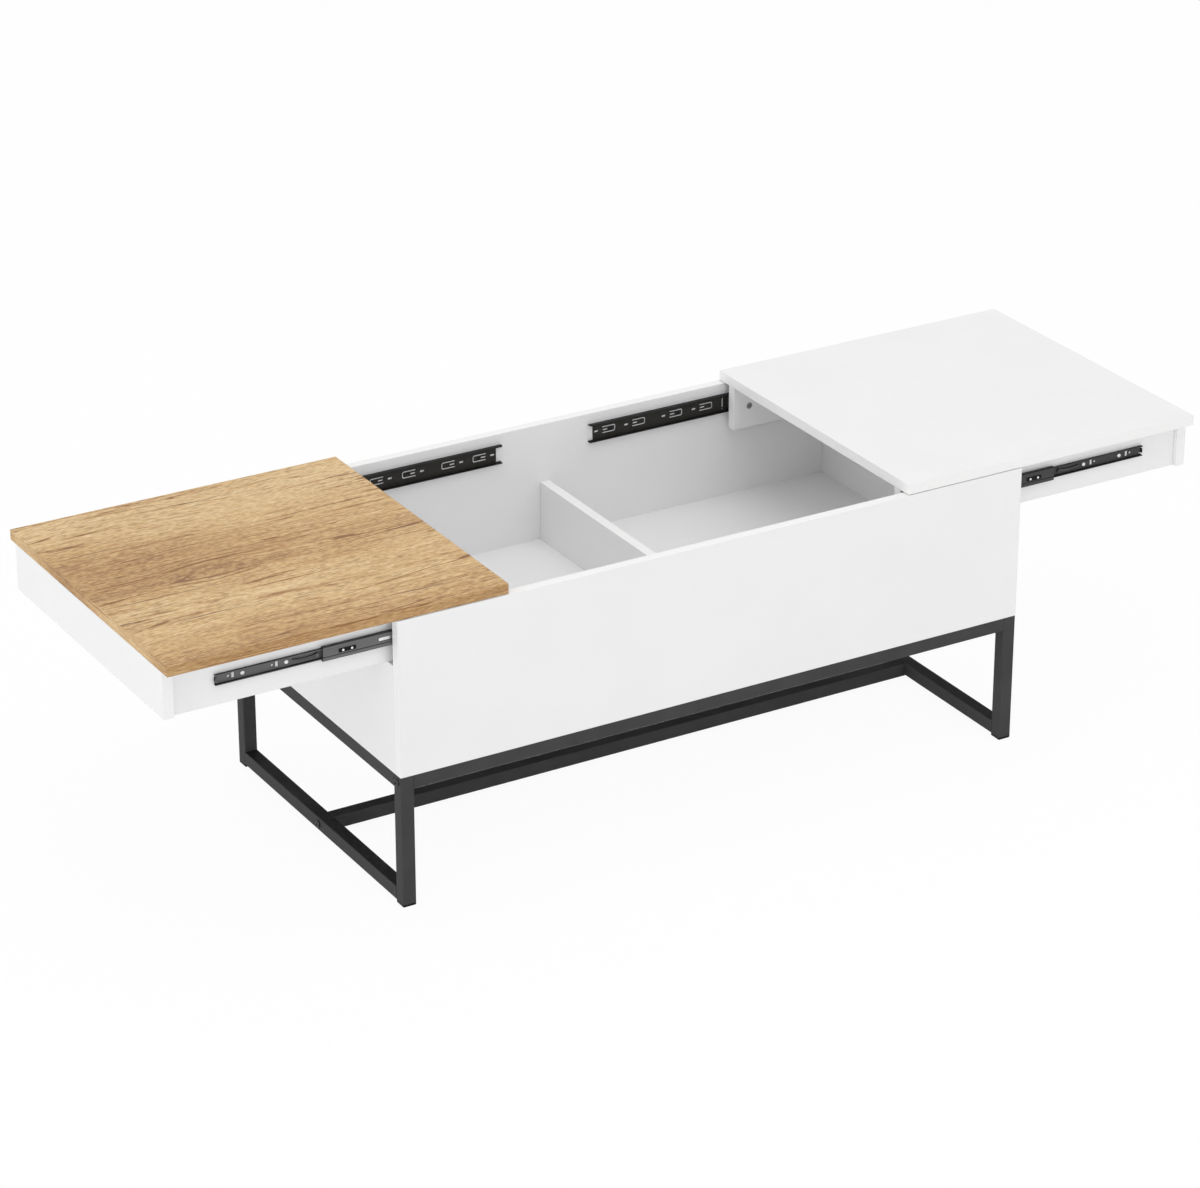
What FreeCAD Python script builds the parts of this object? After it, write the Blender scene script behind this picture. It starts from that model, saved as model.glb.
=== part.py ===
"""Sliding-top coffee table.

A white board box with two storage compartments stands on a black square-tube frame.
Two half tops, each with a skirt of aprons, ride outwards on four three-section ball slides.
Millimetres, +X along the length, +Y to the back, +Z up, origin on the floor under the box centre.
The pieces are drawn for the right back quarter, closed, then mirrored and slid to the open pose.
"""
import FreeCAD
import Part
import math
import os

Vector = FreeCAD.Vector

# Whole table, closed
TABLE_LENGTH = 1000.0
TABLE_DEPTH = 500.0
FRAME_HEIGHT = 196.0
BOX_HEIGHT = 230.0
BOARD = 15.0

# How far each half top and its middle slide members stand open
LEFT_OPEN = 331.0
RIGHT_OPEN = 306.5
LEFT_MIDDLE_OPEN = 177.5
RIGHT_MIDDLE_OPEN = 147.0

# Square tube frame
TUBE = 20.0
TUBE_WALL = 1.2
TUBE_ROUND = 1.5
PLUG_CLEARANCE = 0.1
GLIDE_HEIGHT = 4.0
GLIDE_PLUG_HEIGHT = 14.0
GLIDE_CHAMFER = 1.0
NUT_PLUG_LENGTH = 18.0

# Frame bolts, M6 with a socket button head
FRAME_BOLT_RADIUS = 3.0
FRAME_BOLT_HEAD_RADIUS = 5.2
FRAME_BOLT_HEAD_HEIGHT = 3.0
FRAME_BOLT_SOCKET = 4.0
FRAME_BOLT_SOCKET_DEPTH = 2.0
FRAME_BOLT_GRIP = 14.0
BOLT_CLEARANCE = 0.2
DOME_SHARE = 0.6

# Screws from the frame up into the box
FIXING_SCREW_RADIUS = 2.0
FIXING_SCREW_HEAD_RADIUS = 4.0
FIXING_SCREW_HEAD_HEIGHT = 2.2
FIXING_SCREW_BITE = 22.0
FIXING_SCREW_INSET = 130.0
FIXING_CROSS_ARM = 2.5
FIXING_CROSS_WIDTH = 1.2
FIXING_CROSS_DEPTH = 1.4
SCREW_CLEARANCE = 0.1

# Box boards
FLOOR_RAISE = 34.0
DIVIDER_HEIGHT = 91.0
GROOVE_DEPTH = 4.0
GROOVE_CLEARANCE = 0.2
EDGE_ROUND = 0.6

# Half tops and their aprons
TOP_REVEAL = 1.5
CENTRE_GAP = 2.0
TOP_CLEARANCE = 0.8
APRON_HEIGHT = 68.0
APRON_CLEARANCE = 2.5
APRON_END_INSET = 2.0
END_APRON_SIDE_GAP = 3.0

# Cam locks and their bolts
CAM_RADIUS = 5.0
CAM_SKIN = 2.5
CAM_SETBACK = 34.0
CAM_CLEARANCE = 0.1
CAM_RECESS_DEPTH = 1.5
CAM_RECESS_WIDTH = 1.4
CAM_RECESS_ARM = 3.2
CAM_BOLT_RADIUS = 2.5
CAM_BOLT_NECK_RADIUS = 1.6
CAM_BOLT_HEAD_RADIUS = 2.4
CAM_BOLT_HEAD_LENGTH = 3.0
CAM_BOLT_SKIN = 4.0
APRON_CAM_INSET = 27.0
END_APRON_CAM_INSET = 60.0
END_PANEL_CAM_INSET = 40.0
END_PANEL_LOW_CAM_INSET = 20.0
FLOOR_CAM_INSET = 90.0

# Three-section ball slides, rolled from steel sheet and shifted outwards from the apron's middle
SLIDE_LENGTH = 350.0
SLIDE_SHIFT = 4.75
SLIDE_HEIGHT = 28.0
SLIDE_THICKNESS = 10.0
SLIDE_DROP = 30.0
SLIDE_SHEET = 1.0
SLIDE_BEND = 0.8
SLIDE_LIP = 0.5
MIDDLE_LENGTH = 260.0
OUTER_FLANGE = 8.0
MIDDLE_FLANGE = 8.6
MIDDLE_WEB_GAP = 1.4
INNER_WEB_GAP = 1.2
OUTER_BALL = 2.6
INNER_BALL = 1.7
BALL_CLEARANCE = 0.05
OUTER_BALL_ROW = 5.2
INNER_BALL_ROW = 6.2

# Ball cages between the members
CAGE_SHEET = 0.6
CAGE_POCKET_CLEARANCE = 0.1
OUTER_CAGE_LENGTH = 60.0
OUTER_CAGE_BALLS = 5
INNER_CAGE_LENGTH = 100.0
INNER_CAGE_BALLS = 7
CAGE_END_MARGIN = 5.0

# Cut-outs in the outer members, measured from their inner ends
OUTER_WEB_CUTBACK = 8.0
OUTER_TIP_ROUND = 3.0
TONGUE_PLACES = (34.0, 85.0, 149.0, 201.0, 300.0)
TONGUE_SCREWED = (34.0, 149.0, 300.0)
TONGUE_LENGTH = 25.0
TONGUE_HEIGHT = 11.0
TONGUE_SLIT = 1.9
TONGUE_CORNER = 3.2
TONGUE_ROOT = 2.6
TONGUE_SCREW_OFFSET = 4.0
TONGUE_DASH_OFFSET = 5.0
TONGUE_DASH_LENGTH = 8.4
TONGUE_DASH_HEIGHT = 2.3
TONGUE_SLOT_OFFSET = 20.0
SMALL_SLOT_LENGTH = 7.0
SMALL_SLOT_HEIGHT = 3.0
TALL_SLOT_PLACE = 231.0
TALL_SLOT_HEIGHT = 15.0
TALL_SLOT_WIDTH = 2.0
TALL_SLOT_HOLE_DROP = 10.0
TALL_SLOT_HOLE_RADIUS = 1.1
RELIEF_SLOT_PLACE = 240.5
RELIEF_SLOT_HEIGHT = 20.0
SLOT_END_SHARE = 0.49

# Cut-outs in the middle members, measured from their outer ends
MIDDLE_WINDOW_PLACE = 94.5
MIDDLE_WINDOW_RISE = 1.3
WINDOW_LENGTH = 25.0
WINDOW_HEIGHT = 5.6
WINDOW_CORNER = 0.8
CREASE_DROP = 4.4
CREASE_WIDTH = 1.0
CREASE_DEPTH = 0.5

# Cut-outs and end stops of the inner members, measured from their outer ends
INNER_HOLE_SETS = (20.0, 83.0)
INNER_HOLE_RADIUS = 1.8
INNER_SLOT_OFFSET = 6.6
INNER_SLOT_WIDTH = 4.2
INNER_SLOT_HEIGHT = 7.8
INNER_SLOT_CORNER = 0.8
INNER_SCREW_OFFSET = 20.0
INNER_REAR_SCREW = 290.0
INNER_WINDOW_PLACE = 241.0
INNER_WINDOW_DROP = 2.0
STOP_HEIGHT = 7.0
STOP_REACH = 3.5
STOP_ROUND = 1.2
STOP_NOTCH_LENGTH = 4.0
STOP_NOTCH_HEIGHT = 1.9

# Screws that hold the slides to the boards
SLIDE_SCREW_RADIUS = 1.6
SLIDE_SCREW_HEAD_RADIUS = 3.0
SLIDE_SCREW_HEAD_HEIGHT = 1.5
SLIDE_SCREW_SKIN = 4.0
SLIDE_CROSS_ARM = 1.9
SLIDE_CROSS_WIDTH = 0.9
SLIDE_CROSS_DEPTH = 0.8

# Plastic bumper clipped to each middle member
BUMPER_PLACE = 35.5
BUMPER_LENGTH = 25.0
BUMPER_HEIGHT = 5.5
BUMPER_RISE = 0.8
BUMPER_CLEARANCE = 0.5
BUMPER_PIN_RADIUS = 1.2
BUMPER_PIN_SPACING = 13.0

# Release lever riveted in each inner member
LEVER_PLACE = 147.0
LEVER_REACH = 35.0
LEVER_THICKNESS = 2.0
LEVER_EYE_RADIUS = 3.4
LEVER_TIP_HEIGHT = 2.2
LEVER_ARM_HALF = 2.0
LEVER_WAIST = 0.5
LEVER_PIN_RADIUS = 1.5
LEVER_PIN_CLEARANCE = 0.05
LEVER_SIDE_CLEARANCE = 0.15
RIVET_HEAD_RADIUS = 2.5
RIVET_HEAD_HEIGHT = 0.6

# Places worked out from the sizes above
HALF_LENGTH = TABLE_LENGTH / 2
HALF_DEPTH = TABLE_DEPTH / 2
BOX_TOP = FRAME_HEIGHT + BOX_HEIGHT
WALL_FACE = HALF_DEPTH - BOARD
END_FACE = HALF_LENGTH - BOARD
TOP_UNDERSIDE = BOX_TOP + TOP_CLEARANCE
APRON_BOTTOM = TOP_UNDERSIDE - APRON_HEIGHT
END_PANEL_TOP = APRON_BOTTOM - APRON_CLEARANCE
FLOOR_BOTTOM = FRAME_HEIGHT + FLOOR_RAISE
FLOOR_TOP = FLOOR_BOTTOM + BOARD
DIVIDER_TOP = FLOOR_TOP + DIVIDER_HEIGHT
TOP_INNER_END = CENTRE_GAP / 2
TOP_OUTER_END = HALF_LENGTH - TOP_REVEAL
APRON_FACE = WALL_FACE - SLIDE_THICKNESS
SLIDE_AXIS = BOX_TOP - SLIDE_DROP
SIDE_APRON_START = TOP_INNER_END + APRON_END_INSET
END_APRON_FACE = TOP_OUTER_END - BOARD
SIDE_APRON_MIDDLE = (SIDE_APRON_START + END_APRON_FACE) / 2
SLIDE_START = SIDE_APRON_MIDDLE + SLIDE_SHIFT - SLIDE_LENGTH / 2
SLIDE_END = SLIDE_START + SLIDE_LENGTH
PLUG_HALF = TUBE / 2 - TUBE_WALL - PLUG_CLEARANCE

ORIGIN = Vector(0, 0, 0)
X_AXIS = Vector(1, 0, 0)
Y_AXIS = Vector(0, 1, 0)
Z_AXIS = Vector(0, 0, 1)
SIDES = {"left": -1, "right": 1}
FACES = {"front": -1, "back": 1}
OPEN = {"left": LEFT_OPEN, "right": RIGHT_OPEN}
MIDDLE_OPEN = {"left": LEFT_MIDDLE_OPEN, "right": RIGHT_MIDDLE_OPEN}

nodes = {}


def add(name, *shapes):
    """Put solids into a named node."""
    nodes.setdefault(name, []).extend(shapes)


def block(x0, x1, y0, y1, z0, z1):
    """A box between two corners."""
    return Part.makeBox(x1 - x0, y1 - y0, z1 - z0, Vector(x0, y0, z0))


def rod(start, direction, radius, length):
    """A round bar from a point along a direction."""
    return Part.makeCylinder(radius, length, start, direction)


def quarter(shape, side, face):
    """The same piece in another quarter of the table."""
    moved = shape
    if side < 0:
        moved = moved.mirror(ORIGIN, X_AXIS)
    if face < 0:
        moved = moved.mirror(ORIGIN, Y_AXIS)
    return moved


def slid(shape, side, distance):
    """A piece moved outwards along the table."""
    return shape.translated(Vector(side * distance, 0, 0))


def eased(board):
    """A board with its long edges slightly rounded, as edge banding leaves them."""
    return board.makeFillet(EDGE_ROUND, board.Edges)


def bored(board, cuts):
    """A board with holes and pockets cut out."""
    return board.cut(cuts) if cuts else board


def cross_recess(mouth, outward, along, arm, width, depth):
    """Two crossed bars that cut a driver's recess into a face."""
    across = outward.cross(along)
    bars = []
    for long_way, short_way in ((along, across), (across, along)):
        tip = long_way * arm
        side = short_way * (width / 2)
        ring = [mouth + tip + side, mouth + tip - side, mouth - tip - side, mouth - tip + side]
        bars.append(Part.Face(Part.makePolygon(ring + ring[:1])).extrude(outward * -depth))
    return bars


# Square tube frame
def tube(x0, x1, y0, y1, z0, z1, along):
    """A hollow square tube, rounded along its corners, whose bore runs along an axis."""
    inset = Vector(TUBE_WALL, TUBE_WALL, TUBE_WALL)
    past_ends = along * (2 * TUBE_WALL)
    low = Vector(x0, y0, z0) + inset - past_ends
    high = Vector(x1, y1, z1) - inset + past_ends
    bar = block(x0, x1, y0, y1, z0, z1)
    bore = block(low.x, high.x, low.y, high.y, low.z, high.z)
    corners = [edge for edge in bar.Edges if round(abs(edge.tangentAt(0).dot(along)))]
    return bar.makeFillet(TUBE_ROUND, corners).cut(bore)


def frame_bolt(y, z):
    """A socket button-head bolt through a tube's outer face, pointing in along X."""
    head = rod(Vector(HALF_LENGTH, y, z), X_AXIS, FRAME_BOLT_HEAD_RADIUS, FRAME_BOLT_HEAD_HEIGHT)
    rim = [edge for edge in head.Edges if edge.BoundBox.XMin > HALF_LENGTH + FRAME_BOLT_HEAD_HEIGHT / 2]
    rim = [edge for edge in rim if edge.Closed]
    head = head.makeFillet(FRAME_BOLT_HEAD_HEIGHT * DOME_SHARE, rim)
    shank = rod(Vector(HALF_LENGTH, y, z), -X_AXIS, FRAME_BOLT_RADIUS, TUBE + FRAME_BOLT_GRIP)
    corner = FRAME_BOLT_SOCKET / math.sqrt(3)
    depth = HALF_LENGTH + FRAME_BOLT_HEAD_HEIGHT - FRAME_BOLT_SOCKET_DEPTH
    turns = [math.radians(60 * i) for i in range(7)]
    ring = [Vector(depth, y + corner * math.cos(turn), z + corner * math.sin(turn)) for turn in turns]
    socket = Part.Face(Part.makePolygon(ring)).extrude(X_AXIS * FRAME_BOLT_HEAD_HEIGHT)
    return head.fuse(shank).removeSplitter().cut(socket)


def nut_plug(y, z):
    """A threaded square plug in the end of a tube that runs along X."""
    end = HALF_LENGTH - TUBE
    plug = block(end - NUT_PLUG_LENGTH, end, y - PLUG_HALF, y + PLUG_HALF, z - PLUG_HALF, z + PLUG_HALF)
    return plug.cut(rod(Vector(end, y, z), -X_AXIS, FRAME_BOLT_RADIUS + SCREW_CLEARANCE, NUT_PLUG_LENGTH))


def bolt_hole(y, z):
    """The clearance hole for a frame bolt through both walls of a tube."""
    return rod(Vector(HALF_LENGTH, y, z), -X_AXIS, FRAME_BOLT_RADIUS + BOLT_CLEARANCE, TUBE)


def foot_glide():
    """A plastic foot with a square plug that goes up into the leg."""
    outer = HALF_LENGTH
    back = HALF_DEPTH
    foot = block(outer - TUBE, outer, back - TUBE, back, 0, GLIDE_HEIGHT)
    corners = [edge for edge in foot.Edges if edge.BoundBox.ZLength > GLIDE_HEIGHT / 2]
    foot = foot.makeFillet(TUBE_ROUND, corners)
    sole = [edge for edge in foot.Edges if edge.BoundBox.ZMax < GLIDE_HEIGHT / 2]
    foot = foot.makeChamfer(GLIDE_CHAMFER, sole)
    width = 2 * PLUG_HALF
    corner = Vector(outer - TUBE / 2 - PLUG_HALF, back - TUBE / 2 - PLUG_HALF, GLIDE_HEIGHT)
    plug = Part.makeBox(width, width, GLIDE_PLUG_HEIGHT, corner)
    return foot.fuse(plug).removeSplitter()


RAIL_LOW = FRAME_HEIGHT - TUBE
RAIL_MID = FRAME_HEIGHT - TUBE / 2
FLOOR_RAIL_TOP = GLIDE_HEIGHT + TUBE
FLOOR_RAIL_MID = GLIDE_HEIGHT + TUBE / 2
LEG_MID = HALF_DEPTH - TUBE / 2
RAIL_END = HALF_LENGTH - TUBE
CROSS_END = HALF_DEPTH - TUBE
BOARD_MID_X = HALF_LENGTH - BOARD / 2
BOARD_MID_Y = HALF_DEPTH - BOARD / 2
LONG_SCREW_PLACES = (FIXING_SCREW_INSET - HALF_LENGTH, 0.0, HALF_LENGTH - FIXING_SCREW_INSET)
CROSS_SCREW_PLACES = (FIXING_SCREW_INSET - HALF_DEPTH, HALF_DEPTH - FIXING_SCREW_INSET)


def fixing_screw(x, y):
    """A screw from under a rail, through the tube and up into a board's edge."""
    head_low = RAIL_LOW - FIXING_SCREW_HEAD_HEIGHT
    mouth = Vector(x, y, head_low)
    head = rod(mouth, Z_AXIS, FIXING_SCREW_HEAD_RADIUS, FIXING_SCREW_HEAD_HEIGHT)
    half_way = head_low + FIXING_SCREW_HEAD_HEIGHT / 2
    rim = [edge for edge in head.Edges if edge.Closed and edge.BoundBox.ZMax < half_way]
    head = head.makeFillet(FIXING_SCREW_HEAD_HEIGHT * DOME_SHARE, rim)
    shank = rod(Vector(x, y, RAIL_LOW), Z_AXIS, FIXING_SCREW_RADIUS, TUBE + FIXING_SCREW_BITE)
    cross = cross_recess(mouth, -Z_AXIS, X_AXIS, FIXING_CROSS_ARM, FIXING_CROSS_WIDTH, FIXING_CROSS_DEPTH)
    return head.fuse(shank).removeSplitter().cut(cross)


def fixing_hole(x, y):
    """The hole for a fixing screw in the rail and in the board above it."""
    length = TUBE + FIXING_SCREW_BITE + SCREW_CLEARANCE
    return rod(Vector(x, y, RAIL_LOW), Z_AXIS, FIXING_SCREW_RADIUS + SCREW_CLEARANCE, length)


LONG_HOLES = [fixing_hole(x, BOARD_MID_Y) for x in LONG_SCREW_PLACES]
CROSS_HOLES = [fixing_hole(BOARD_MID_X, y) for y in CROSS_SCREW_PLACES]

leg = tube(RAIL_END, HALF_LENGTH, CROSS_END, HALF_DEPTH, GLIDE_HEIGHT, FRAME_HEIGHT, Z_AXIS)
leg = leg.cut(bolt_hole(LEG_MID, RAIL_MID))
cross_rail = tube(RAIL_END, HALF_LENGTH, -CROSS_END, CROSS_END, RAIL_LOW, FRAME_HEIGHT, Y_AXIS)
cross_rail = cross_rail.cut(CROSS_HOLES)
floor_rail = tube(RAIL_END, HALF_LENGTH, -CROSS_END, CROSS_END, GLIDE_HEIGHT, FLOOR_RAIL_TOP, Y_AXIS)
floor_rail = floor_rail.cut(bolt_hole(0, FLOOR_RAIL_MID))
long_rail = tube(-RAIL_END, RAIL_END, CROSS_END, HALF_DEPTH, RAIL_LOW, FRAME_HEIGHT, X_AXIS)
long_rail = long_rail.cut(LONG_HOLES)
stretcher = tube(-RAIL_END, RAIL_END, -TUBE / 2, TUBE / 2, GLIDE_HEIGHT, FLOOR_RAIL_TOP, X_AXIS)
add("floor_stretcher", stretcher)
for face_name, face in FACES.items():
    add(face_name + "_long_rail", quarter(long_rail, 1, face))
    for x in LONG_SCREW_PLACES:
        add("box_fixing_screws", quarter(fixing_screw(x, BOARD_MID_Y), 1, face))
for side_name, side in SIDES.items():
    add(side_name + "_cross_rail", quarter(cross_rail, side, 1))
    add(side_name + "_floor_rail", quarter(floor_rail, side, 1))
    add("frame_bolts", quarter(frame_bolt(0, FLOOR_RAIL_MID), side, 1))
    add("rail_nut_plugs", quarter(nut_plug(0, FLOOR_RAIL_MID), side, 1))
    for y in CROSS_SCREW_PLACES:
        add("box_fixing_screws", quarter(fixing_screw(BOARD_MID_X, y), side, 1))
    for face_name, face in FACES.items():
        add(side_name + "_" + face_name + "_leg", quarter(leg, side, face))
        add("foot_glides", quarter(foot_glide(), side, face))
        add("frame_bolts", quarter(frame_bolt(LEG_MID, RAIL_MID), side, face))
        add("rail_nut_plugs", quarter(nut_plug(LEG_MID, RAIL_MID), side, face))


# Cam locks
class CamJoint:
    """A cam in one board that pulls in a bolt screwed into the board that it meets.

    face is a point on the board's visible face over the cam, outward the face's normal,
    and towards the direction in the board from the cam to the joint.
    """

    def __init__(self, face, outward, towards):
        axis = face - outward * (BOARD / 2)
        joint = axis + towards * CAM_SETBACK
        depth = BOARD - CAM_SKIN
        thread = BOARD - CAM_BOLT_SKIN
        neck = CAM_SETBACK - CAM_BOLT_HEAD_LENGTH / 2
        head_start = axis + towards * (CAM_BOLT_HEAD_LENGTH / 2)
        neck_bar = rod(joint, -towards, CAM_BOLT_NECK_RADIUS, neck)
        head_bar = rod(head_start, -towards, CAM_BOLT_HEAD_RADIUS, CAM_BOLT_HEAD_LENGTH)
        thread_bar = rod(joint, towards, CAM_BOLT_RADIUS, thread)
        self.bolt = thread_bar.fuse([neck_bar, head_bar]).removeSplitter()
        bore_radius = CAM_BOLT_HEAD_RADIUS + CAM_CLEARANCE
        mouth = rod(axis - towards * CAM_BOLT_HEAD_LENGTH, towards, bore_radius, CAM_SETBACK)
        drum = rod(face, -outward, CAM_RADIUS, depth - CAM_CLEARANCE)
        cross = cross_recess(face, outward, towards, CAM_RECESS_ARM, CAM_RECESS_WIDTH, CAM_RECESS_DEPTH)
        self.cam = drum.cut([mouth] + cross)
        pocket = rod(face, -outward, CAM_RADIUS + CAM_CLEARANCE, depth)
        run = rod(axis, towards, bore_radius, CAM_SETBACK)
        self.board_cuts = [pocket, run]
        self.mate_cut = rod(joint, towards, CAM_BOLT_RADIUS + CAM_CLEARANCE, thread + CAM_CLEARANCE)


# Box of five boards and a divider
END_CAM_HEIGHTS = (FRAME_HEIGHT + END_PANEL_LOW_CAM_INSET, END_PANEL_TOP - END_PANEL_CAM_INSET)
end_cams = [
    CamJoint(Vector(END_FACE, WALL_FACE - CAM_SETBACK, z), -X_AXIS, Y_AXIS) for z in END_CAM_HEIGHTS
]
FLOOR_CAM_PLACES = (FLOOR_CAM_INSET - END_FACE, 0.0, END_FACE - FLOOR_CAM_INSET)
floor_cams = [
    CamJoint(Vector(x, WALL_FACE - CAM_SETBACK, FLOOR_BOTTOM), -Z_AXIS, Y_AXIS) for x in FLOOR_CAM_PLACES
]
GROOVE_HALF = BOARD / 2 + GROOVE_CLEARANCE
groove_end = WALL_FACE + GROOVE_DEPTH
groove = block(-GROOVE_HALF, GROOVE_HALF, WALL_FACE, groove_end, FLOOR_TOP, DIVIDER_TOP + GROOVE_CLEARANCE)


def both_faces(shapes):
    """Shapes drawn for the back, with their twins at the front."""
    return shapes + [quarter(shape, 1, -1) for shape in shapes]


def both_sides(shapes):
    """Shapes drawn for the right, with their twins at the left."""
    return shapes + [quarter(shape, -1, 1) for shape in shapes]


end_board = block(END_FACE, HALF_LENGTH, -WALL_FACE, WALL_FACE, FRAME_HEIGHT, END_PANEL_TOP)
end_cuts = both_faces([cut for cam in end_cams for cut in cam.board_cuts]) + CROSS_HOLES
end_panel = bored(eased(end_board), end_cuts)
floor_board = block(-END_FACE, END_FACE, -WALL_FACE, WALL_FACE, FLOOR_BOTTOM, FLOOR_TOP)
floor_panel = bored(floor_board, both_faces([cut for cam in floor_cams for cut in cam.board_cuts]))
divider_end = groove_end - GROOVE_CLEARANCE
divider_board = block(-BOARD / 2, BOARD / 2, -divider_end, divider_end, FLOOR_TOP, DIVIDER_TOP)
add("floor_panel", floor_panel)
add("divider_panel", eased(divider_board))
for side_name, side in SIDES.items():
    add(side_name + "_end_panel", quarter(end_panel, side, 1))
for face_name, face in FACES.items():
    for cam in floor_cams:
        add("box_cam_locks", quarter(cam.cam, 1, face))
        add("box_cam_bolts", quarter(cam.bolt, 1, face))
    for side in SIDES.values():
        for cam in end_cams:
            add("box_cam_locks", quarter(cam.cam, side, face))
            add("box_cam_bolts", quarter(cam.bolt, side, face))


# Half tops
def apron_cam(x, y, outward):
    """A cam in an apron's inner face, whose bolt goes up into the top board."""
    return CamJoint(Vector(x, y, TOP_UNDERSIDE - CAM_SETBACK), outward, Z_AXIS)


END_APRON_HALF = WALL_FACE - END_APRON_SIDE_GAP
APRON_INNER_FACE = APRON_FACE - BOARD
SIDE_CAM_PLACES = (SIDE_APRON_START + APRON_CAM_INSET, END_APRON_FACE - APRON_CAM_INSET)
side_apron_cams = [apron_cam(x, APRON_INNER_FACE, -Y_AXIS) for x in SIDE_CAM_PLACES]
end_apron_cam = apron_cam(END_APRON_FACE, APRON_INNER_FACE - END_APRON_CAM_INSET, -X_AXIS)
top_cams = side_apron_cams + [end_apron_cam]


# Ball slide sections, drawn in the plane of u, out from the wall, and v, up from the slide's axis
def spot(u, v):
    """A point of the slide's section at the table's centre plane."""
    return Vector(0, WALL_FACE - u, SLIDE_AXIS + v)


def bent_strip(path, sheet, bend):
    """A face for a strip of sheet bent along a path of corners, with the same bend at each."""
    count = len(path)
    ways = [(path[i + 1] - path[i]).normalize() for i in range(count - 1)]

    def side_edges(offset):
        edges = []
        start = path[0] + ways[0].cross(X_AXIS) * offset
        for i in range(1, count - 1):
            before, after = ways[i - 1], ways[i]
            trim = bend * math.tan(before.getAngle(after) / 2)
            inward = (after - before).normalize()
            centre = path[i] + inward * math.hypot(bend, trim)
            first = path[i] - before * trim + before.cross(X_AXIS) * offset
            last = path[i] + after * trim + after.cross(X_AXIS) * offset
            middle = centre - inward * (first - centre).Length
            edges.append(Part.LineSegment(start, first).toShape())
            edges.append(Part.Arc(first, middle, last).toShape())
            start = last
        end = path[-1] + ways[-1].cross(X_AXIS) * offset
        edges.append(Part.LineSegment(start, end).toShape())
        return edges, path[0] + ways[0].cross(X_AXIS) * offset, end

    one, one_start, one_end = side_edges(sheet / 2)
    two, two_start, two_end = side_edges(-sheet / 2)
    caps = [Part.LineSegment(one_start, two_start).toShape(), Part.LineSegment(one_end, two_end).toShape()]
    return Part.Face(Part.Wire(Part.__sortEdges__(one + two + caps)))


def channel(web, flange_end, half, lip, start, length):
    """A slide member: a channel with its web at u, flanges to flange_end and lips turned in."""
    half_sheet = SLIDE_SHEET / 2
    path = [spot(flange_end, half), spot(web, half), spot(web, -half), spot(flange_end, -half)]
    if lip:
        turned = half - half_sheet - lip
        path = [spot(flange_end, turned)] + path + [spot(flange_end, -turned)]
    face = bent_strip(path, SLIDE_SHEET, SLIDE_BEND)
    return face.translated(Vector(start, 0, 0)).extrude(X_AXIS * length)


def web_cut(x, u0, u1, length, v0, v1):
    """A rectangular cut through a web, centred at x."""
    low = spot(u1, v0)
    high = spot(u0, v1)
    return block(x - length / 2, x + length / 2, low.y, high.y, low.z, high.z)


def web_window(x, u0, u1, length, v0, v1, corner):
    """A cut with rounded corners through a web, centred at x."""
    cut = web_cut(x, u0, u1, length, v0, v1)
    corners = [edge for edge in cut.Edges if edge.BoundBox.YLength > (u1 - u0) / 2]
    return cut.makeFillet(corner, corners)


def web_slot(x, u0, u1, length, v0, v1):
    """A cut with round ends through a web, as long as it says or as tall."""
    return web_window(x, u0, u1, length, v0, v1, min(length, v1 - v0) * SLOT_END_SHARE)


# Heights of the flanges, from the outer member in to the inner one
OUTER_LINE = SLIDE_HEIGHT / 2 - SLIDE_SHEET / 2
OUTER_RACE = SLIDE_HEIGHT / 2 - SLIDE_SHEET
MIDDLE_EDGE = OUTER_RACE - OUTER_BALL - 2 * BALL_CLEARANCE
MIDDLE_LINE = MIDDLE_EDGE - SLIDE_SHEET / 2
MIDDLE_RACE = MIDDLE_EDGE - SLIDE_SHEET
INNER_EDGE = MIDDLE_RACE - INNER_BALL - 2 * BALL_CLEARANCE
INNER_LINE = INNER_EDGE - SLIDE_SHEET / 2

# Depths of the webs, from the wall out to the apron
OUTER_WEB = SLIDE_SHEET / 2
MIDDLE_WEB_BACK = SLIDE_SHEET + MIDDLE_WEB_GAP
MIDDLE_WEB_FRONT = MIDDLE_WEB_BACK + SLIDE_SHEET
INNER_LIPS = MIDDLE_WEB_FRONT + INNER_WEB_GAP
INNER_WEB_BACK = SLIDE_THICKNESS - SLIDE_SHEET
PAST_SHEET = SLIDE_SHEET / 2
SCREW_BITE = BOARD - SLIDE_SCREW_SKIN


def tongue_slit(x):
    """A slit round three sides of a tongue in the web, open towards the table's centre."""
    half = TONGUE_HEIGHT / 2
    core = half - TONGUE_SLIT
    core_length = TONGUE_LENGTH - 2 * TONGUE_SLIT
    core_corner = TONGUE_CORNER - TONGUE_SLIT
    ring = web_window(x, -PAST_SHEET, SLIDE_SHEET + PAST_SHEET, TONGUE_LENGTH, -half, half, TONGUE_CORNER)
    heart = web_window(x, -SLIDE_SHEET, 2 * SLIDE_SHEET, core_length, -core, core, core_corner)
    root = web_cut(x - TONGUE_LENGTH / 2, -SLIDE_SHEET, 2 * SLIDE_SHEET, 2 * TONGUE_ROOT, -half, half)
    return ring.cut([heart, root])


def slide_screw_cross(mouth, outward):
    """The driver's recess of a slide screw."""
    return cross_recess(mouth, outward, X_AXIS, SLIDE_CROSS_ARM, SLIDE_CROSS_WIDTH, SLIDE_CROSS_DEPTH)


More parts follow.
